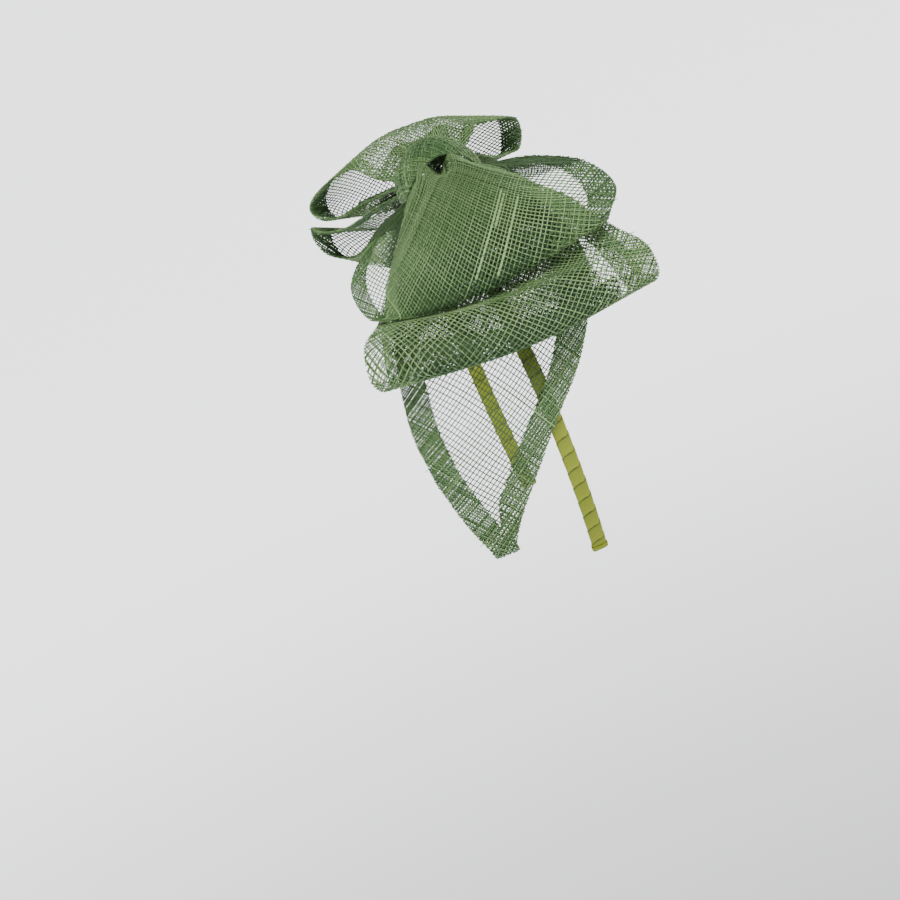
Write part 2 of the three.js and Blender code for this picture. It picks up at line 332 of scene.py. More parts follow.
@dataclass(frozen=True)
class Arch:
    """The headband's own line, from arm to arm over the crown."""

    crown_radius: float = 72.0
    width: float = 6.0
    thickness: float = 2.0
    arm_length: float = 55.0
    arm_tuck: float = 15.0

    @property
    def crown_length(self) -> float:
        """Length from the crown to the widest place."""
        return self.crown_radius * math.pi / 2

    @property
    def half_length(self) -> float:
        """Length from the crown to the end of an arm."""
        return self.crown_length + self.arm_length

    def inner_face(self, distance: Array) -> tuple[Array, Array]:
        """The inner face's X and Z at distances from the crown, and the directions out of it."""
        side = np.where(distance < 0, -1.0, 1.0)
        along = np.abs(distance)
        turn = np.minimum(along, self.crown_length) / self.crown_radius
        share = np.maximum(along - self.crown_length, 0) / self.arm_length
        slope = 2 * self.arm_tuck * share / self.arm_length
        on_arm = share > 0
        size = np.hypot(1, slope)
        across = np.where(on_arm, self.crown_radius - self.arm_tuck * share**2,
                          self.crown_radius * np.sin(turn))
        height = np.where(on_arm, -self.crown_radius - self.arm_length * share,
                          self.crown_radius * (np.cos(turn) - 1))
        out_x = np.where(on_arm, 1 / size, np.sin(turn))
        out_z = np.where(on_arm, -slope / size, np.cos(turn))
        return np.stack([side * across, height], 1), np.stack([side * out_x, out_z], 1)

    def over(self, distance: Array, along: Array, lift: Array) -> Array:
        """X, Y and Z of points along the band, across it to the back and over its outer face."""
        base, out = self.inner_face(distance)
        rise = (self.thickness + lift)[:, None]
        flat = base + out * rise
        return np.stack([flat[:, 0], along, flat[:, 1]], 1)


@dataclass(frozen=True)
class Pinch:
    """The place where the layers are gathered, sewn on the band and covered by the knot."""

    gap: float = -0.4
    centre: float = 5.0
    spread: float = 11.5
    hem_wall: float = 1.5
    seat_gap: float = 0.3
    top_layer: int = 5
    knot_rise: float = 22.5
    knot_width: float = 15.5

    def layer(self, number: float) -> float:
        """Height of the middle of a cloth layer over the band."""
        return self.seat_gap + self.hem_wall / 2 + number * (self.hem_wall + self.seat_gap)


ARCH = Arch()
PINCH = Pinch()


def linked(name: str, data: Any) -> Object:
    """Puts a mesh, light or camera in the scene as an object."""
    made = bpy.data.objects.new(name, data)
    bpy.context.scene.collection.objects.link(made)
    return made


def mesh_of(name: str, shape: bmesh.types.BMesh) -> Mesh:
    """Ends the editing of a shape and keeps it as a mesh."""
    mesh = bpy.data.meshes.new(name)
    shape.to_mesh(mesh)
    shape.free()
    return mesh


def piece_from(name: str, mesh: Mesh, nodes: tuple[str, ...], slot: Slot,
               finish: Material) -> Object:
    """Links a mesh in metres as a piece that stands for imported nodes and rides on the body."""
    mesh.materials.append(finish)
    mesh.polygons.foreach_set("use_smooth", [True] * len(mesh.polygons))
    piece = linked(name, mesh)
    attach(piece, BODY)
    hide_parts(*nodes)
    log.info("%s: %d vertices, %d faces", name, len(mesh.vertices), len(mesh.polygons))
    return piece


# Woven straw


@dataclass(frozen=True)
class Weave:
    """A plain weave cut on the bias: its threads cross the strip at 45 degrees, over and under."""

    pitch: float = 1.75
    thread: float = 0.38
    depth: float = 0.22
    crimp: float = 0.14
    tone: float = 0.42
    tone_spread: float = 0.13
    tone_jitter: float = 0.05
    # Painted light and shade at the crossings: how much paler a thread is painted where it passes
    # over, and deeper where it passes under.
    over_painted_light: float = 0.2
    width_range: Pair = (0.86, 1.14)
    fibre_start: float = 500.0
    end_steps: int = 9
    slub_share: float = 0.03
    slub_reach: Pair = (3.0, 14.0)
    slub_growth: float = 0.6
    slub_tone: float = 0.5
    lumps: Pair = (3.1, 1.9)
    lump_range: Pair = (0.75, 1.15)
    crowding: float = 0.62
    stacking: float = 0.45
    whisker_share: float = 0.07
    whisker_reach: float = 2.4
    whisker_range: Pair = (0.3, 1.0)
    whisker_steps: int = 4
    whisker_bend: float = 0.12
    whisker_lift: float = 0.1
    whisker_width: float = 0.16
    whisker_tone: Pair = (0.35, 0.85)

    def runs(self, length: float, inside: OnStrip, reach: float,
             shift: float) -> Iterator[tuple[Grain, int, Array]]:
        """Threads of a flat strip, each as far as it stays inside the cloth.

        Args:
            length: the strip's length.
            inside: whether points of the flat strip are in the cloth.
            reach: the strip's largest half width.
            shift: how far the lattice is moved, as a share of the pitch.

        Yields:
            Each thread's direction, number, and rows of place along, place across and lift.
        """
        diagonal = math.sqrt(0.5)
        low = math.floor(-reach * diagonal / self.pitch) - 1
        high = math.ceil((length + reach) * diagonal / self.pitch) + 1
        steps = np.arange(low, high + 1)
        for grain in Grain:
            for number in steps:
                fixed = (number + shift) * self.pitch
                moving = (steps + shift) * self.pitch
                rows = self._flat(grain, fixed, moving)
                held = inside(rows[:, 0], rows[:, 1])
                edges = np.flatnonzero(np.diff(np.concatenate([[0], held, [0]])))
                for first, last in zip(edges[::2], edges[1::2]):
                    start = self._end(grain, fixed, moving[first], -self.pitch, inside)
                    stop = self._end(grain, fixed, moving[last - 1], self.pitch, inside)
                    places = np.concatenate([[start], moving[first:last], [stop]])
                    parity = np.arange(first - 1, last + 1) + number + low
                    lift = self.crimp * grain.value * np.where(parity % 2, 1.0, -1.0)
                    lift[0] = lift[-1] = 0.0
                    if stop - start > self.pitch:
                        flat = self._flat(grain, fixed, places)
                        yield grain, int(number), np.column_stack([flat, lift])

    def _flat(self, grain: Grain, fixed: float, moving: Array) -> Array:
        """Places along and across the strip of points on one thread."""
        first, second = (moving, fixed) if grain is Grain.WARP else (fixed, moving)
        along = (first + second) * math.sqrt(0.5)
        across = (first - second) * math.sqrt(0.5)
        return np.column_stack([along, across])

    def _end(self, grain: Grain, fixed: float, held: float, step: float, inside: OnStrip) -> float:
        """The last place of a thread inside the cloth, from a held crossing to one a step away."""
        places = np.linspace(held, held + step, self.end_steps)
        rows = self._flat(grain, fixed, places)
        return float(places[np.flatnonzero(inside(rows[:, 0], rows[:, 1]))[-1]])


WEAVE = Weave()


def thinned(run: Array, stride: int) -> Array:
    """A thread of an inner layer, laid flat and with fewer points."""
    kept = run[np.unique(np.append(np.arange(0, len(run), stride), len(run) - 1))]
    kept[:, 2] = 0
    return kept


@dataclass
class Threads:
    """The threads of one piece, gathered run by run and then made one mesh."""

    weave: Weave
    seed: int
    rows: list[Array] = field(default_factory=list)
    sizes: list[int] = field(default_factory=list)

    def __post_init__(self) -> None:
        """Starts the piece's own random numbers."""
        self.random = np.random.default_rng(self.seed)

    def lay(self, run: Array, drop: float, shade: Number = 0.0,
            coarse: Optional[tuple[int, int]] = None, stray: float = 0.07) -> None:
        """Adds one thread.

        Args:
            run: rows of place along, place across and lift.
            drop: how far the layer lies under the strip's own surface.
            shade: how much paler or deeper the thread is, as one value or one for each row; on the
                loops, the knot and the inner layers this is painted light and shade.
            coarse: the middle step and the half length, in steps, of a thick pale stretch.
            stray: how far a thread may lie beside its place.
        """
        count = len(run)
        steps = np.arange(count)
        weave, draw = self.weave, self.random
        tone = draw.normal(weave.tone, weave.tone_spread) + shade
        # Painted light and shade: paler where the thread passes over, deeper where it passes under.
        tone = tone + weave.over_painted_light * np.sign(run[:, 2])
        tone = tone + draw.normal(0, weave.tone_jitter, count)
        slub = np.zeros(count)
        if draw.random() < weave.slub_share:
            middle = draw.uniform(0, count)
            slub = np.exp(-(((steps - middle) / draw.uniform(*weave.slub_reach)) ** 2))
        if coarse:
            lumps = np.where(run[:, 2] > 0, *weave.lumps) * draw.uniform(*weave.lump_range, count)
            slub = np.maximum(slub, lumps * (np.abs(steps - coarse[0]) < coarse[1]))
        width = weave.thread * (draw.uniform(*weave.width_range) + weave.slub_growth * slub)
        wander = draw.normal(0, stray)
        along = np.cumsum(np.hypot(*np.diff(run[:, :2], axis=0, prepend=run[:1, :2]).T))
        self.rows.append(np.column_stack([
            run[:, 0] + wander, run[:, 1], run[:, 2] - drop, width,
            np.clip(tone + weave.slub_tone * slub, 0, 1),
            along + draw.uniform(0, weave.fibre_start), np.full(count, draw.uniform(-1, 1)),
        ]))
        self.sizes.append(count)

    def whisker(self, run: Array) -> None:
        """Lets the end of a thread stray past the edge, thin and a little raised."""
        weave, draw, count = self.weave, self.random, self.weave.whisker_steps
        step = unit((run[-1, :2] - run[-2, :2])[None])[0]
        reach = draw.uniform(*weave.whisker_range) * weave.whisker_reach
        places = np.linspace(0, reach, count)[:, None]
        bend = draw.normal(0, weave.whisker_bend) * places**2
        stray = run[-1, :2] + step * places + np.column_stack([-step[1] * bend, step[0] * bend])
        lift = draw.normal(0, weave.whisker_lift) * places**2
        self.rows.append(np.column_stack([
            stray, lift, np.full(count, weave.whisker_width),
            np.full(count, draw.uniform(*weave.whisker_tone)), places, np.zeros(count),
        ]))
        self.sizes.append(count)

    def mesh(self, name: str, place: OnStrip, facing: OnStrip, spacing: OnStrip) -> Mesh:
        """Makes the mesh: a closed four-sided thread along every run.

        No operator sweeps a flat section that keeps to a cloth's own normal, so the faces are set
        out here, four round each step and one on each end.

        Args:
            name: the mesh's name.
            place: points in space at places along and across the strip.
            facing: the cloth's normals there.
            spacing: how far the threads lie apart there, as a share of their flat pitch.

        Returns:
            The mesh, in metres.
        """
        rows = np.vstack(self.rows)
        sizes = np.array(self.sizes)
        ends = np.cumsum(sizes)
        first = np.zeros(len(rows), bool)
        last = np.zeros(len(rows), bool)
        first[ends - sizes] = True
        last[ends - 1] = True
        normal = facing(rows[:, 0], rows[:, 1])
        crowd = 1 - np.clip(spacing(rows[:, 0], rows[:, 1]), 0, 1)
        rise = rows[:, 2] + self.weave.stacking * crowd * rows[:, 6]
        width = rows[:, 3:4] * (1 - self.weave.crowding * crowd[:, None])
        centre = place(rows[:, 0], rows[:, 1]) + normal * rise[:, None]
        after = np.where(last[:, None], centre, np.roll(centre, -1, 0))
        before = np.where(first[:, None], centre, np.roll(centre, 1, 0))
        side = unit(np.cross(normal, unit(after - before)))
        corners = [
            centre + side * (width * out / 2) + normal * (self.weave.depth * top / 2)
            for out, top in ((1, 1), (-1, 1), (-1, -1), (1, -1))
        ]
        points = np.stack(corners, 1).reshape(-1, 3) * MM
        starts = np.flatnonzero(~last) * 4
        round_faces = [
            starts[:, None] + np.array([k, (k + 1) % 4, 4 + (k + 1) % 4, 4 + k]) for k in range(4)
        ]
        heads = (ends - sizes)[:, None] * 4 + np.array([3, 2, 1, 0])
        tails = (ends - 1)[:, None] * 4 + np.array([0, 1, 2, 3])
        faces = np.vstack([*round_faces, heads, tails])
        mesh = bpy.data.meshes.new(name)
        mesh.vertices.add(len(points))
        mesh.vertices.foreach_set("co", points.ravel())
        mesh.loops.add(faces.size)
        mesh.loops.foreach_set("vertex_index", faces.ravel())
        mesh.polygons.add(len(faces))
        mesh.polygons.foreach_set("loop_start", np.arange(len(faces)) * 4)
        mesh.update(calc_edges=True)
        # The tone carries painted light and shade as well as each thread's own tone.
        tone = mesh.attributes.new("tone", "FLOAT", "POINT")
        tone.data.foreach_set("value", np.repeat(rows[:, 4], 4))
        fibre = mesh.attributes.new("fibre", "FLOAT_VECTOR", "POINT")
        around = np.tile([0.0, 0.25, 0.5, 0.75], len(rows))
        lengthwise = np.repeat(rows[:, 5], 4)
        fibre.data.foreach_set("vector", np.column_stack([lengthwise, around, around * 0]).ravel())
        return mesh


@dataclass
class Strip:
    """A strip of woven straw on a curved surface, from which each cloth piece is made."""

    name: str
    seed: int
    half_width: float = 53.0
    hem: float = 9.0
    back_hem: float = 9.0
    hem_layers: tuple[Pair, ...] = ((0.32, 0.5), (0.62, 0.27))
    hem_stride: int = 2
    hem_stray: float = 0.28
    # Painted shade of the hem layers: how much darker the first one is painted, and each one
    # further down.
    hem_painted_shade: Pair = (0.1, 0.2)
    gather_layers: tuple[Pair, ...] = ((0.5, 0.5), (0.9, 0.22))
    gather_stride: int = 3
    # Painted shade of the gathered folds and the lining: how much darker they are painted.
    gather_painted_shade: float = -0.5
    gather_reach: Pair = (16.0, 30.0)
    # The lining: a dark layer under the lower sheet that stands for the shade inside the loop.
    shade_lining_reach: float = 0.0
    shade_lining_width: float = 0.6
    # Painted light: how much paler the outer face of the cloth is painted.
    outer_painted_light: float = 0.3
    coarse: dict[tuple[Grain, int], tuple[int, int]] = field(default_factory=dict)
    held: str = "folded"
    table_steps: int = 400
    nudge: float = 2e-3
    feeler: float = 1.0

    def surface(self, length: Array, width: Array) -> Array:
        """Points at shares of the length (0 to 1) and places across (-1 to 1)."""
        raise NotImplementedError

    def prepare(self) -> None:
        """Measures the centre line, so that places along the strip are true lengths."""
        shares = np.linspace(0, 1, self.table_steps + 1)
        centre = self.surface(shares, np.zeros_like(shares))
        steps = np.linalg.norm(np.diff(centre, axis=0), axis=1)
        self.shares = shares
        self.lengths = np.concatenate([[0], np.cumsum(steps)])

    @property
    def length(self) -> float:
        """The strip's length along its centre line."""
        return float(self.lengths[-1])

    def edge(self, along: Array) -> Array:
        """Half width of the flat strip at places along it."""
        return np.full_like(along, self.half_width)

    def _spot(self, along: Array, across: Array) -> tuple[Array, Array]:
        """Shares of the length and of the half width at places of the flat strip."""
        return np.interp(along, self.lengths, self.shares), across / self.edge(along)

    def place(self, along: Array, across: Array) -> Array:
        """Points in space at places of the flat strip."""
        return self.surface(*self._spot(along, across))

    def facing(self, along: Array, across: Array) -> Array:
        """Outward normals at places of the flat strip."""
        share, width = self._spot(along, across)
        share = np.clip(share, self.nudge, 1 - self.nudge)
        width = np.clip(width, self.nudge - 1, 1 - self.nudge)
        onward = self.surface(share + self.nudge, width) - self.surface(share - self.nudge, width)
        sideways = self.surface(share, width + self.nudge) - self.surface(share, width - self.nudge)
        return unit(np.cross(sideways, onward)) * self.outward

    @property
    def cut_width(self) -> float:
        """Width of the cloth before its hems were turned in."""
        return 2 * self.half_width + self.hem + self.back_hem

    def spacing(self, along: Array, across: Array) -> Array:
        """How far the threads lie apart across the strip, as a share of their flat pitch."""
        low = np.maximum(across - self.feeler, -self.half_width)
        high = np.minimum(across + self.feeler, self.half_width)
        gap = np.linalg.norm(self.place(along, high) - self.place(along, low), axis=1)
        return gap / (high - low)

    @property
    def outward(self) -> float:
        """1 where the strip's width runs so that its normal points out, else -1."""
        return -1.0

    def inside(self, along: Array, across: Array) -> Array:
        """Whether places are in the cloth."""
        return (along >= 0) & (along <= self.length) & (np.abs(across) <= self.edge(along))

    def in_hem(self, along: Array, across: Array) -> Array:
        """Whether places are in one of the two turned-in hems."""
        hem = np.where(across > 0, self.back_hem, self.hem)
        return self.inside(along, across) & (np.abs(across) >= self.edge(along) - hem)

    def in_gather(self, along: Array, across: Array) -> Array:
        """Whether places are in the folds beside the pinch, or in the lining of the lower sheet, a
        dark layer that stands for the shade inside the loop.
        """
        first, last = self.gather_reach
        middle = np.abs(across) < self.shade_lining_width * self.half_width
        near = (along < first) | (self.length - along < last)
        shade_lining = middle & (self.length - along < self.shade_lining_reach)
        return (near | shade_lining) & self.inside(along, across)

    def threads(self) -> Threads:
        """Lays the strip's threads and those of its hems and gathered folds."""
        made = Threads(WEAVE, self.seed)
        for grain, number, run in WEAVE.runs(self.length, self.inside, self.half_width, 0.0):
            made.lay(run, 0.0, self.shade(*run[:, :2].T), self.coarse.get((grain, number)))
            if made.random.random() < WEAVE.whisker_share:
                made.whisker(run)
        for drop, shift in self.gather_layers:
            for _, _, run in WEAVE.runs(self.length, self.in_gather, self.half_width, shift):
                # The gathered folds and the lining are painted deeper, as painted shade.
                made.lay(thinned(run, self.gather_stride), drop, self.gather_painted_shade)
        first, more = self.hem_painted_shade
        for place, (drop, shift) in enumerate(self.hem_layers):
            for _, _, run in WEAVE.runs(self.length, self.in_hem, self.half_width, shift):
                run = thinned(run, self.hem_stride)
                # Each hem layer further down is painted darker, as painted shade.
                shade = self.shade(*run[:, :2].T) - first - more * place
                made.lay(run, drop, shade, stray=self.hem_stray)
        return made

    def shade(self, along: Array, across: Array) -> Array:
        """How much paler or deeper the cloth is at places of the flat strip; here the outer face's
        painted light, the same all over.
        """
        return np.full_like(along, self.outer_painted_light)

    def build(self, finish: Material) -> Object:
        """Makes the piece and dresses it."""
        self.prepare()
        mesh = self.threads().mesh(self.name, self.place, self.facing, self.spacing)
        piece = piece_from(f"{self.name}_straw", mesh, (self.name,), Slot.CLOTH, finish)
        area = self.cut_area * MM * MM
        made = sum(face.area for face in mesh.polygons) / 2
        log.info("%s: cut %.0f x %.0f mm, share %.2f", self.name, self.cut_width, self.length,
                 made / area)
        return piece

    @property
    def cut_area(self) -> float:
        """Flat area of the cut: a full rectangle, because these strips are cut straight."""
        return self.cut_width * self.length


@dataclass
class Guided(Strip):
    """A strip whose surface lies between a front, a centre and a back guide line."""

    reach: float = 72.0
    spread: float = 50.0
    rows: Rows = ()

    def __post_init__(self) -> None:
        """Works out the guide lines' points of out, along and lift."""
        rows = np.array(self.rows)
        self.lines = []
        for column, start, way in ((3, -PINCH.spread, -1), (0, 0.0, 1), (6, PINCH.spread, 1)):
            out, along, lift = rows[:, column:column + 3].T
            points = [out * self.reach, PINCH.centre + start + way * along * self.spread, lift]
            self.lines.append(np.column_stack(points))

    def between(self, length: Array, width: Array) -> Array:
        """Points of out, along and lift between the guide lines, as a parabola across."""
        front, centre, back = (through(points, length) for points in self.lines)
        width = width[:, None]
        return centre + (back - front) * width / 2 + ((back + front) / 2 - centre) * width**2


@dataclass
class Loop(Guided):
    """A loop of the bow: out over the top from the pinch, round and back underneath."""

    side: Side = Side.NEAR
    puff: float = 18.0
    upper_layer: int = 5
    lower_layer: int = 4
    fold_start: float = 0.4
    pleat: float = 0.0
    pleat_reach: float = 28.0
    pleat_count: float = 2.0
    pleat_swell: Pair = (0.4, 1.15)
    pleat_start: float = 13.0
    # Painted light on top and painted shade underneath: the inner tone, and where it turns in along
    # and across.
    inner_painted_shade: float = -0.3
    painted_shade_turn: Pair = (0.44, 0.16)
    painted_shade_middle: Pair = (0.45, 0.3)

    def shade(self, along: Array, across: Array) -> Array:
        """Painted light and shade: the cloth is paler on top, where it would catch the light, and
        deeper in the folds, in the middle of the under sheet.
        """
        start, span = self.painted_shade_turn
        turned = smooth((along / self.length - start) / span)
        start, span = self.painted_shade_middle
        middle = 1 - smooth((np.abs(across) / self.half_width - start) / span)
        return blend(self.outer_painted_light, self.inner_painted_shade, turned * middle)

    @property
    def outward(self) -> float:
        """The far loops run the other way."""
        return -float(self.side.value)

    def surface(self, length: Array, width: Array) -> Array:
        """Points of the loop's cloth."""
        spot = self.between(length, width)
        out = spot[:, 0]
        turned = smooth((length - self.fold_start) / (1 - 2 * self.fold_start))
        base = blend(PINCH.layer(self.upper_layer), PINCH.layer(self.lower_layer), turned)
        room = PINCH.knot_rise - PINCH.layer(PINCH.top_layer)
        share = blend(room, self.puff, smooth((out - PINCH.knot_width / 2) / PINCH.knot_width))
        swell = blend(*self.pleat_swell, smooth(out / self.pleat_start))
        fade = (1 - smooth(out / self.pleat_reach)) * swell
        ripple = self.pleat * (1 - turned) * fade * (1 - np.cos(np.pi * self.pleat_count * width))
        ripple = ripple * (1 - width**4) / 2
        lift = base + spot[:, 2] * share + ripple
        return ARCH.over(self.side.value * (out + PINCH.gap), spot[:, 1], lift)


@dataclass
class Tail(Guided):
    """The pointed strip that hangs down one side, hemmed on both edges."""

    reach: float = 156.0
    fall: float = 6.0
    gather_reach: Pair = (40.0, 0.0)
    hem_layers: tuple[Pair, ...] = ((0.32, 0.5), (0.62, 0.27), (0.9, 0.77))
    back_hem: float = 14.0
    middle_shade: float = -0.32
    hem_shade: float = 0.2

    def surface(self, length: Array, width: Array) -> Array:
        """Points of the tail's cloth."""
        out, along, lift = self.between(length, width).T
        return ARCH.over(out, along, PINCH.layer(0) + lift * self.fall)

    def prepare(self) -> None:
        """Measures the strip's own width too, which it keeps past its widest place."""
        super().prepare()
        side = np.ones_like(self.shares)
        gap = self.surface(self.shares, side) - self.surface(self.shares, -side)
        halves = np.linalg.norm(gap, axis=1) / 2
        widest = int(np.argmax(halves))
        halves[:widest] = halves[widest]
        self.halves = halves
        self.half_width = float(halves[widest])

    def edge(self, along: Array) -> Array:
        """Half width at places along the tail."""
        return np.interp(along, self.lengths, self.halves)

    @property
    def cut_area(self) -> float:
        """Flat area of the cut, which narrows to the point, with both hems turned out."""
        widths = 2 * self.halves + self.hem + self.back_hem
        return float(np.sum(np.diff(self.lengths) * (widths[1:] + widths[:-1]) / 2))

    def shade(self, along: Array, across: Array) -> Array:
        """The single cloth looks deeper than the hems."""
        return np.where(self.in_hem(along, across), self.hem_shade, self.middle_shade)


@dataclass
class Knot(Strip):
    """The strip round the middle of the bow: an open arch whose edges roll in."""

    half_width: float = 7.0
    curl: float = 2.0
    tilt: float = 2.0
    tilt_start: float = 6.0
    tilt_span: float = 10.0
    # Painted light of the knot's outer layer; below, the drop, shift and painted shade of each
    # fold, where the deeper folds are painted darker.
    outer_painted_light: float = 0.1
    folds: tuple[Triple, ...] = (
        (-0.3, 0.0, 0.0), (-0.1, 0.5, -0.05), (0.1, 0.25, -0.15), (0.4, 0.75, -0.4),
    )
    step: float = 1e-3
    rows: Rows = ()

    def __post_init__(self) -> None:
        """Works out the strip's line."""
        rows = np.array(self.rows)
        base = PINCH.layer(1)
        along = PINCH.centre + rows[:, 0] * PINCH.spread
        self.line = np.column_stack([along, base + rows[:, 1] * (PINCH.knot_rise - base)])

    @property
    def cut_width(self) -> float:
        """Width of the cloth before it was folded into its layers."""
        return 2 * self.half_width * len(self.folds)

    @property
    def outward(self) -> float:
        """The strip runs from front to back."""
        return 1.0

    def surface(self, length: Array, width: Array) -> Array:
        """Points of the knot's cloth."""
        spot = through(self.line, length)
        ahead, behind = np.clip(length + self.step, 0, 1), np.clip(length - self.step, 0, 1)
        tangent = unit(through(self.line, ahead) - through(self.line, behind))
        curl = self.curl * np.sqrt(np.clip(np.sin(np.pi * length), 0, 1)) * width**2
        along = spot[:, 0] + tangent[:, 1] * curl
        lift = spot[:, 1] - tangent[:, 0] * curl
        lean = self.tilt * width * smooth((spot[:, 1] - self.tilt_start) / self.tilt_span)
        return ARCH.over(width * PINCH.knot_width / 2, along, lift - lean)

    def threads(self) -> Threads:
        """Lays the layers that the strip is folded into."""
        made = Threads(WEAVE, self.seed)
        for drop, shift, fold_painted_shade in self.folds:
            for _, _, run in WEAVE.runs(self.length, self.inside, self.half_width, shift):
                # Each deeper fold is painted darker, as painted shade.
                made.lay(run, drop, self.shade(*run[:, :2].T) + fold_painted_shade)
        return made


# Guide lines, from the pinch on: shares of out, along and lift of the centre, front and back
NEAR_UPPER_ROWS = (
    (0.01, 0, 0, 0.01, 0, 0.03, 0.01, 0, 0.02),
    (0.11, 0, 0.13, 0.11, 0, 0.21, 0.11, 0.01, 0.07),
    (0.31, -0.04, 0.5, 0.36, 0.25, 0.12, 0.36, 0.15, 0.3),
    (0.53, -0.14, 0.66, 0.54, 0.46, 0.2, 0.53, 0.27, 0.5),
    (0.72, -0.24, 0.54, 0.65, 0.61, 0.22, 0.65, 0.45, 0.42),
    (0.82, -0.28, 0.13, 0.74, 0.69, 0.1, 0.74, 0.58, 0),
    (0.72, -0.26, 0, 0.69, 0.81, -0.03, 0.68, 0.7, -0.14),
    (0.53, -0.16, 0, 0.55, 0.81, 0.18, 0.55, 0.83, -0.26),
    (0.31, -0.06, 0.01, 0.38, 0.52, 0.24, 0.37, 0.72, -0.14),
    (0.18, -0.02, 0.02, 0.23, 0.25, 0.06, 0.24, 0.41, 0.04),
    (0.1, 0, 0.07, 0.1, 0.01, 0.07, 0.1, 0.01, 0.07),
    (0.01, 0, 0.03, 0.01, 0, 0.03, 0.01, 0, 0.03),
)
NEAR_LOWER_ROWS = (
    (0.01, 0, 0.04, 0.01, 0, 0.04, 0.01, 0, 0.04),
    (0.11, 0, 0.05, 0.11, 0.01, 0.05, 0.11, 0.01, 0.05),
    (0.35, -0.04, -0.02, 0.33, 0.25, -0.07, 0.34, 0.31, -0.13),
    (0.63, -0.08, -0.04, 0.56, 0.53, -0.2, 0.62, 0.57, -0.36),
    (0.85, -0.12, 0.01, 0.72, 0.73, -0.24, 0.78, 0.69, -0.3),
    (0.95, -0.12, 0.59, 0.78, 0.78, 0.07, 0.9, 0.79, -0.11),
    (1.08, -0.12, 0.68, 0.86, 0.94, 0.26, 0.98, 0.82, -0.12),
    (1.13, -0.16, 0.5, 1, 1, 0.2, 1.06, 0.8, -0.12),
    (1.07, -0.12, 0.06, 1.02, 0.88, -0.26, 1.05, 0.74, -0.5),
    (0.85, -0.1, -0.05, 0.77, 0.75, -0.3, 0.8, 0.65, -0.46),
    (0.56, -0.06, -0.04, 0.54, 0.51, -0.24, 0.56, 0.49, -0.34),
    (0.29, -0.02, -0.05, 0.3, 0.21, -0.13, 0.28, 0.23, -0.14),
    (0.12, 0, 0.05, 0.12, 0.01, 0.05, 0.12, 0.01, 0.05),
    (0.01, 0, 0.03, 0.01, 0, 0.03, 0.01, 0, 0.03),
)
FAR_UPPER_ROWS = (
    (0.01, 0, 0.16, 0.01, 0, 0.1, 0.01, 0, 0.1),
    (0.09, 0.02, 0.5, 0.09, 0, 0.1, 0.09, 0, 0.1),
    (0.18, 0.02, 0.98, 0.2, 0.18, 0.43, 0.19, 0.22, 0.57),
    (0.27, 0.04, 1.12, 0.29, 0.31, 0.78, 0.29, 0.3, 0.56),
    (0.42, 0.04, 1.1, 0.4, 0.54, 0.75, 0.35, 0.59, 0.42),
    (0.57, 0, 0.9, 0.48, 0.67, 0.64, 0.44, 0.64, 0.19),
    (0.72, -0.04, 0.57, 0.52, 0.68, 0.52, 0.5, 0.58, -0.03),
    (0.71, -0.04, 0.22, 0.5, 0.62, 0.28, 0.47, 0.47, -0.04),
    (0.53, -0.02, 0.04, 0.41, 0.49, 0.1, 0.41, 0.34, -0.07),
    (0.32, 0, 0, 0.29, 0.31, 0.11, 0.29, 0.2, 0.03),
    (0.11, 0, 0.08, 0.11, 0.01, 0.1, 0.11, 0.01, 0.08),
    (0.01, 0, 0.03, 0.01, 0, 0.03, 0.01, 0, 0.03),
)
FAR_LOWER_ROWS = (
    (0.01, 0, 0.04, 0.01, 0, 0.04, 0.01, 0, 0.04),
    (0.12, 0, 0.05, 0.12, 0.01, 0.05, 0.12, 0.01, 0.05),
    (0.33, 0, -0.05, 0.31, 0.28, 0, 0.34, 0.26, -0.11),
    (0.56, -0.02, -0.07, 0.44, 0.51, -0.02, 0.52, 0.45, -0.24),
    (0.78, -0.02, -0.03, 0.55, 0.68, 0.26, 0.67, 0.55, -0.36),
    (0.92, -0.04, 0.29, 0.59, 0.72, 0.53, 0.82, 0.59, -0.38),
    (1.09, -0.06, 0.23, 0.67, 0.73, 0.42, 0.94, 0.57, -0.44),
    (1.1, -0.06, -0.05, 0.73, 0.66, 0.15, 0.94, 0.49, -0.52),
    (0.86, -0.04, -0.13, 0.67, 0.47, -0.26, 0.78, 0.36, -0.56),
    (0.55, -0.02, -0.14, 0.47, 0.24, -0.2, 0.53, 0.22, -0.39),
    (0.29, 0, -0.1, 0.28, 0.09, -0.15, 0.29, 0.07, -0.16),
    (0.13, 0, 0.05, 0.13, 0.01, 0.05, 0.13, 0.01, 0.05),
    (0.01, 0, 0.03, 0.01, 0, 0.03, 0.01, 0, 0.03),
)
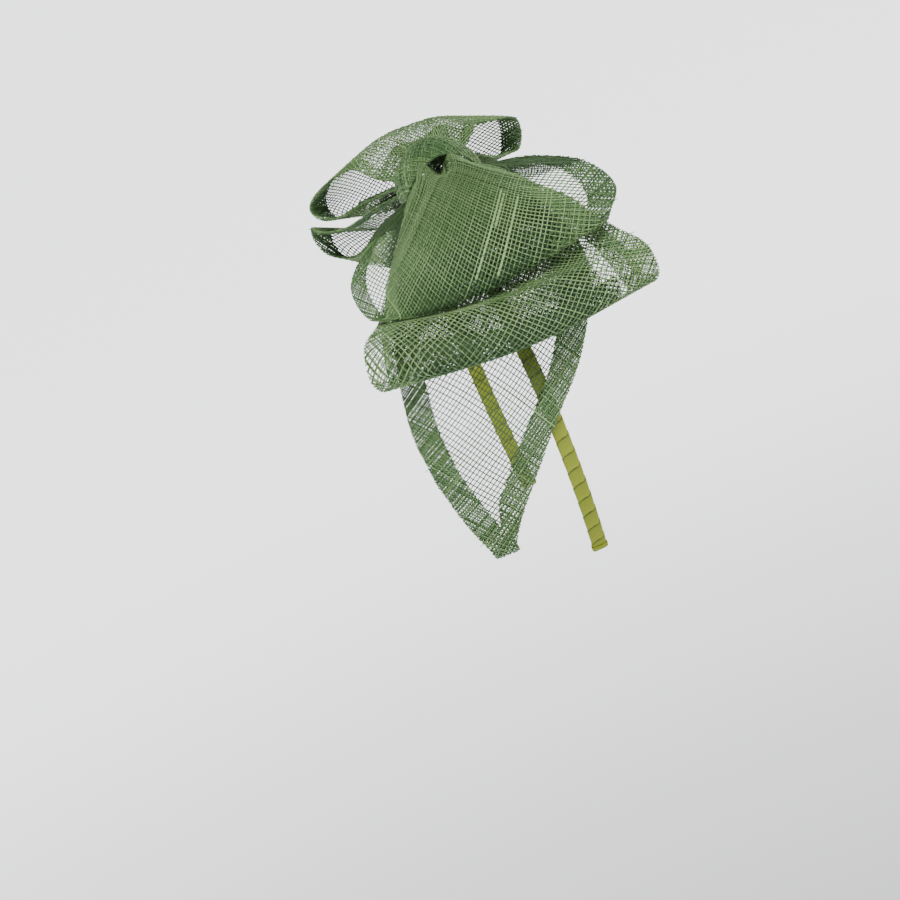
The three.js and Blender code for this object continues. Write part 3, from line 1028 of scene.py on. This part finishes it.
TAIL_ROWS = (
    (-0.04, 0, 0.03, -0.04, 0, 0.03, -0.04, 0, 0.03),
    (0.1, -0.01, 0.03, 0.1, 0.11, 0, 0.1, 0.09, -0.05),
    (0.22, -0.03, 0.04, 0.22, 0.35, -0.26, 0.22, 0.29, -0.42),
    (0.33, -0.09, 0.05, 0.33, 0.59, -0.67, 0.33, 0.41, -0.76),
    (0.45, -0.18, 0.07, 0.45, 0.74, -1.01, 0.45, 0.37, -0.84),
    (0.55, -0.28, 0.07, 0.55, 0.82, -1.26, 0.55, 0.2, -0.59),
    (0.64, -0.42, 0.06, 0.64, 0.86, -1.26, 0.64, -0.02, -0.11),
    (0.72, -0.56, -0.01, 0.72, 0.85, -1.18, 0.72, -0.29, 0.14),
    (0.78, -0.64, -0.09, 0.78, 0.83, -1.09, 0.78, -0.47, 0.16),
    (0.9, -0.74, -0.34, 0.9, 0.74, -0.84, 0.9, -0.77, -0.18),
    (0.97, -0.78, -0.34, 0.97, 0.66, -0.51, 0.97, -0.9, -0.26),
    (1, -0.76, -0.34, 1, 0.63, -0.42, 1, -0.9, -0.31),
)
# The knot's line: along and rise
KNOT_ROWS = (
    (-0.75, 0), (-1.15, 0), (-1.4, 0.16), (-1.38, 0.42), (-1.12, 0.66), (-0.5, 0.91), (0.17, 1),
    (0.8, 0.88), (1.25, 0.58), (1.42, 0.3), (1.36, 0.08), (1.05, 0), (0.6, 0),
)


@dataclass
class Bow:
    """The four loops, the knot and the tail."""

    finish: StrawFinish = StrawFinish()

    def build(self) -> None:
        """Makes the woven pieces and states each one's cut size."""
        straw = self.finish.make()
        pieces = (
            Loop("upper_near_loop", 11, rows=NEAR_UPPER_ROWS, reach=82.0, pleat=10.0,
                 shade_lining_reach=84.0, coarse={
                     (Grain.WEFT, 35): (29, 13), (Grain.WEFT, 36): (22, 6),
                     (Grain.WEFT, 40): (23, 11),
                 }),
            Loop("lower_near_loop", 12, rows=NEAR_LOWER_ROWS, reach=78.0, upper_layer=3,
                 lower_layer=2, shade_lining_reach=112.0, shade_lining_width=0.72),
            Loop("upper_far_loop", 13, rows=FAR_UPPER_ROWS, side=Side.FAR, spread=48.0, pleat=4.5,
                 gather_reach=(20.0, 30.0), shade_lining_reach=46.0),
            Loop("lower_far_loop", 14, rows=FAR_LOWER_ROWS, side=Side.FAR, spread=48.0,
                 upper_layer=3, lower_layer=2, shade_lining_reach=60.0),
            Knot("knot_wrap", 15, rows=KNOT_ROWS),
            Tail("tail", 16, rows=TAIL_ROWS),
        )
        for strip in pieces:
            strip.build(straw)


# Headband


@dataclass
class Headband:
    """The sprung band, wound from end to end in satin ribbon that ends in a fold on each tip."""

    winding: float = 6.3
    overlap: float = 0.22
    along_step: float = 0.45
    around: int = 32
    section_power: float = 0.5
    fibre_round: float = 15.0
    tip_length: float = 2.0
    tip_inset: float = 0.35
    tip_taper: float = 0.05
    tip_rounding: Pair = (0.55, 0.45)
    tip_lip: float = 0.25
    tip_steps: int = 14
    finish: SatinFinish = SatinFinish()

    def section(self, share: Array) -> tuple[Array, Array]:
        """Points round the section, across and out from the inner face, and their normals."""
        turn = share * 2 * np.pi
        half_width = ARCH.width / 2 - self.overlap
        half_depth = ARCH.thickness / 2 - self.overlap
        cos, sin = np.cos(turn), np.sin(turn)
        across = half_width * np.sign(cos) * np.abs(cos) ** self.section_power
        out = half_depth * np.sign(sin) * np.abs(sin) ** self.section_power
        direction = unit(np.column_stack([cos * half_depth, sin * half_width]))
        return np.column_stack([across, out + ARCH.thickness / 2]), direction

    def sweep(self, name: str, distances: Array, swell: Array, wound: bool) -> Mesh:
        """Bends a flat grid round the band's line, its section grown at each of the distances."""
        shape = bmesh.new()
        bmesh.ops.create_grid(shape, x_segments=len(distances) - 1, y_segments=self.around,
                              size=0.5)
        shape.verts.ensure_lookup_table()
        spots = np.array([vert.co[:2] for vert in shape.verts]) + 0.5
        column = np.rint(spots[:, 0] * (len(distances) - 1)).astype(int)
        round_share = np.rint(spots[:, 1] * self.around) / self.around
        distance = distances[column]
        flat, direction = self.section(round_share)
        phase = (distance / self.winding - round_share) % 1.0
        rise = self.overlap * (1 - phase) if wound else 0.0 * phase
        flat = flat + direction * (rise + swell[column])[:, None]
        base, out = ARCH.inner_face(distance)
        points = base + out * flat[:, 1:2]
        for vert, (x, z), y in zip(shape.verts, points, flat[:, 0]):
            vert.co = Vector((x, y, z)) * MM
        tone = shape.verts.layers.float.new("wound")
        fibre = shape.verts.layers.float_vector.new("fibre")
        for vert, value, place, share in zip(shape.verts, phase, distance, round_share):
            vert[tone] = float(value) if wound else 0.5
            vert[fibre] = Vector((share * self.fibre_round, place / self.winding - share, 0))
        bmesh.ops.remove_doubles(shape, verts=shape.verts, dist=1e-6)
        bmesh.ops.holes_fill(shape, edges=shape.edges, sides=self.around)
        bmesh.ops.recalc_face_normals(shape, faces=shape.faces)
        return mesh_of(name, shape)

    def build(self) -> None:
        """Makes the band and its two tips."""
        satin = self.finish.make()
        steps = round(2 * ARCH.half_length / self.along_step)
        distances = np.linspace(-ARCH.half_length, ARCH.half_length, steps + 1)
        band = self.sweep("headband", distances, np.zeros(steps + 1), wound=True)
        piece_from("headband_ribbon", band, ("headband",), Slot.RIBBON, satin)
        for name, side in (("band_tip_left", 1), ("band_tip_right", -1)):
            share = np.linspace(0, 1, self.tip_steps + 1)
            start = ARCH.half_length + PINCH.seat_gap
            begin, span = self.tip_rounding
            round_end = np.sqrt(1 - np.clip((share - begin) / span, 0, 1) ** 2)
            swell = blend(-self.tip_inset, self.tip_lip + self.overlap, round_end)
            swell = swell - self.tip_taper * share
            tip = self.sweep(name, side * (start + share * self.tip_length), swell, wound=False)
            piece_from(f"{name}_fold", tip, (name,), Slot.RIBBON, satin)


# Studio


@dataclass
class Studio:
    """A pale floor, soft light and the camera at the photograph's angle."""

    towards: Triple = (0.9686, -0.137, 0.2074)
    upwards: Triple = (-0.1362, 0.4056, 0.9037)
    distance: float = 1500.0
    target: Triple = (13.3, -32.3, -83.5)
    lens: float = 160.0
    floor_height: float = -0.62
    floor_radius: float = 14.0
    floor_glow: float = 2.35
    glow_span: Pair = (0.2, 2.2)
    paper: Colour = (0.88, 0.885, 0.9)
    sky: Colour = (0.93, 0.95, 1.0)
    sky_strength: float = 0.5
    lamp_aim: Triple = (0.0, 0.0, -0.03)

    def camera(self) -> None:
        """Places the camera."""
        data = bpy.data.cameras.new("camera")
        data.lens = self.lens
        data.clip_end = 60
        seat = Vector(self.towards) * self.distance * MM
        forward = (Vector(self.target) * MM - seat).normalized()
        right = forward.cross(Vector(self.upwards)).normalized()
        above = right.cross(forward)
        turn = Matrix((right, above, -forward)).transposed().to_4x4()
        camera = linked("camera", data)
        camera.matrix_world = Matrix.Translation(seat) @ turn
        bpy.context.scene.camera = camera

    def lamp(self, name: str, place: Triple, size: float, power: float,
             colour: Colour = (1, 1, 1)) -> None:
        """Adds a soft square light, its place and side in metres and its power in watts."""
        data = bpy.data.lights.new(name, "AREA")
        data.size = size
        data.energy = power
        data.color = colour
        lamp = linked(name, data)
        lamp.location = place
        aim = Vector(self.lamp_aim) - Vector(place)
        lamp.rotation_euler = aim.to_track_quat("-Z", "Y").to_euler()

    def floor(self) -> None:
        """Lays a wide pale disc that glows as painted light, little near the middle and fully far
        out.
        """
        shape = bmesh.new()
        bmesh.ops.create_circle(shape, cap_ends=True, segments=96, radius=self.floor_radius)
        bmesh.ops.translate(shape, verts=shape.verts, vec=(0, 0, self.floor_height))
        mesh = mesh_of("floor", shape)
        nodes = FinishNodes("pale_floor", 0.9, Base_Color=(*self.paper, 1), Specular_IOR_Level=0.1,
                            Emission_Strength=self.floor_glow)
        flat = nodes.stretched(nodes.coordinates(), (1, 1, 0))
        away = nodes.add("ShaderNodeVectorMath", {"operation": "LENGTH"}, {0: flat}, output=1)
        near, far = self.glow_span
        inputs = {"Value": away, "From Min": near, "From Max": far}
        fade = nodes.add("ShaderNodeMapRange", {"interpolation_type": "SMOOTHSTEP"}, inputs)
        # Painted light: the floor glows, little near the middle and fully far out.
        nodes.feed("Emission Color", nodes.mix(fade, (0, 0, 0, 1), (*self.paper, 1)))
        mesh.materials.append(nodes.material)
        linked("floor", mesh)

    def world(self) -> None:
        """Lights everything softly from all round."""
        world = bpy.data.worlds.new("studio")
        world.use_nodes = True
        background = world.node_tree.nodes["Background"]
        background.inputs["Color"].default_value = (*self.sky, 1)
        background.inputs["Strength"].default_value = self.sky_strength
        bpy.context.scene.world = world

    def build(self) -> None:
        """Sets up the whole studio."""
        self.camera()
        self.floor()
        self.world()
        self.lamp("key_light", place=(1.1, -0.3, 1.7), size=1.0, power=62.0,
                  colour=(1.0, 0.985, 0.96))
        self.lamp("fill_light", place=(1.4, 1.3, 0.5), size=1.2, power=9.0)


def main() -> None:
    """Builds the fascinator in its studio."""
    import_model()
    Studio().build()
    Headband().build()
    Bow().build()


if __name__ == "__main__":
    main()
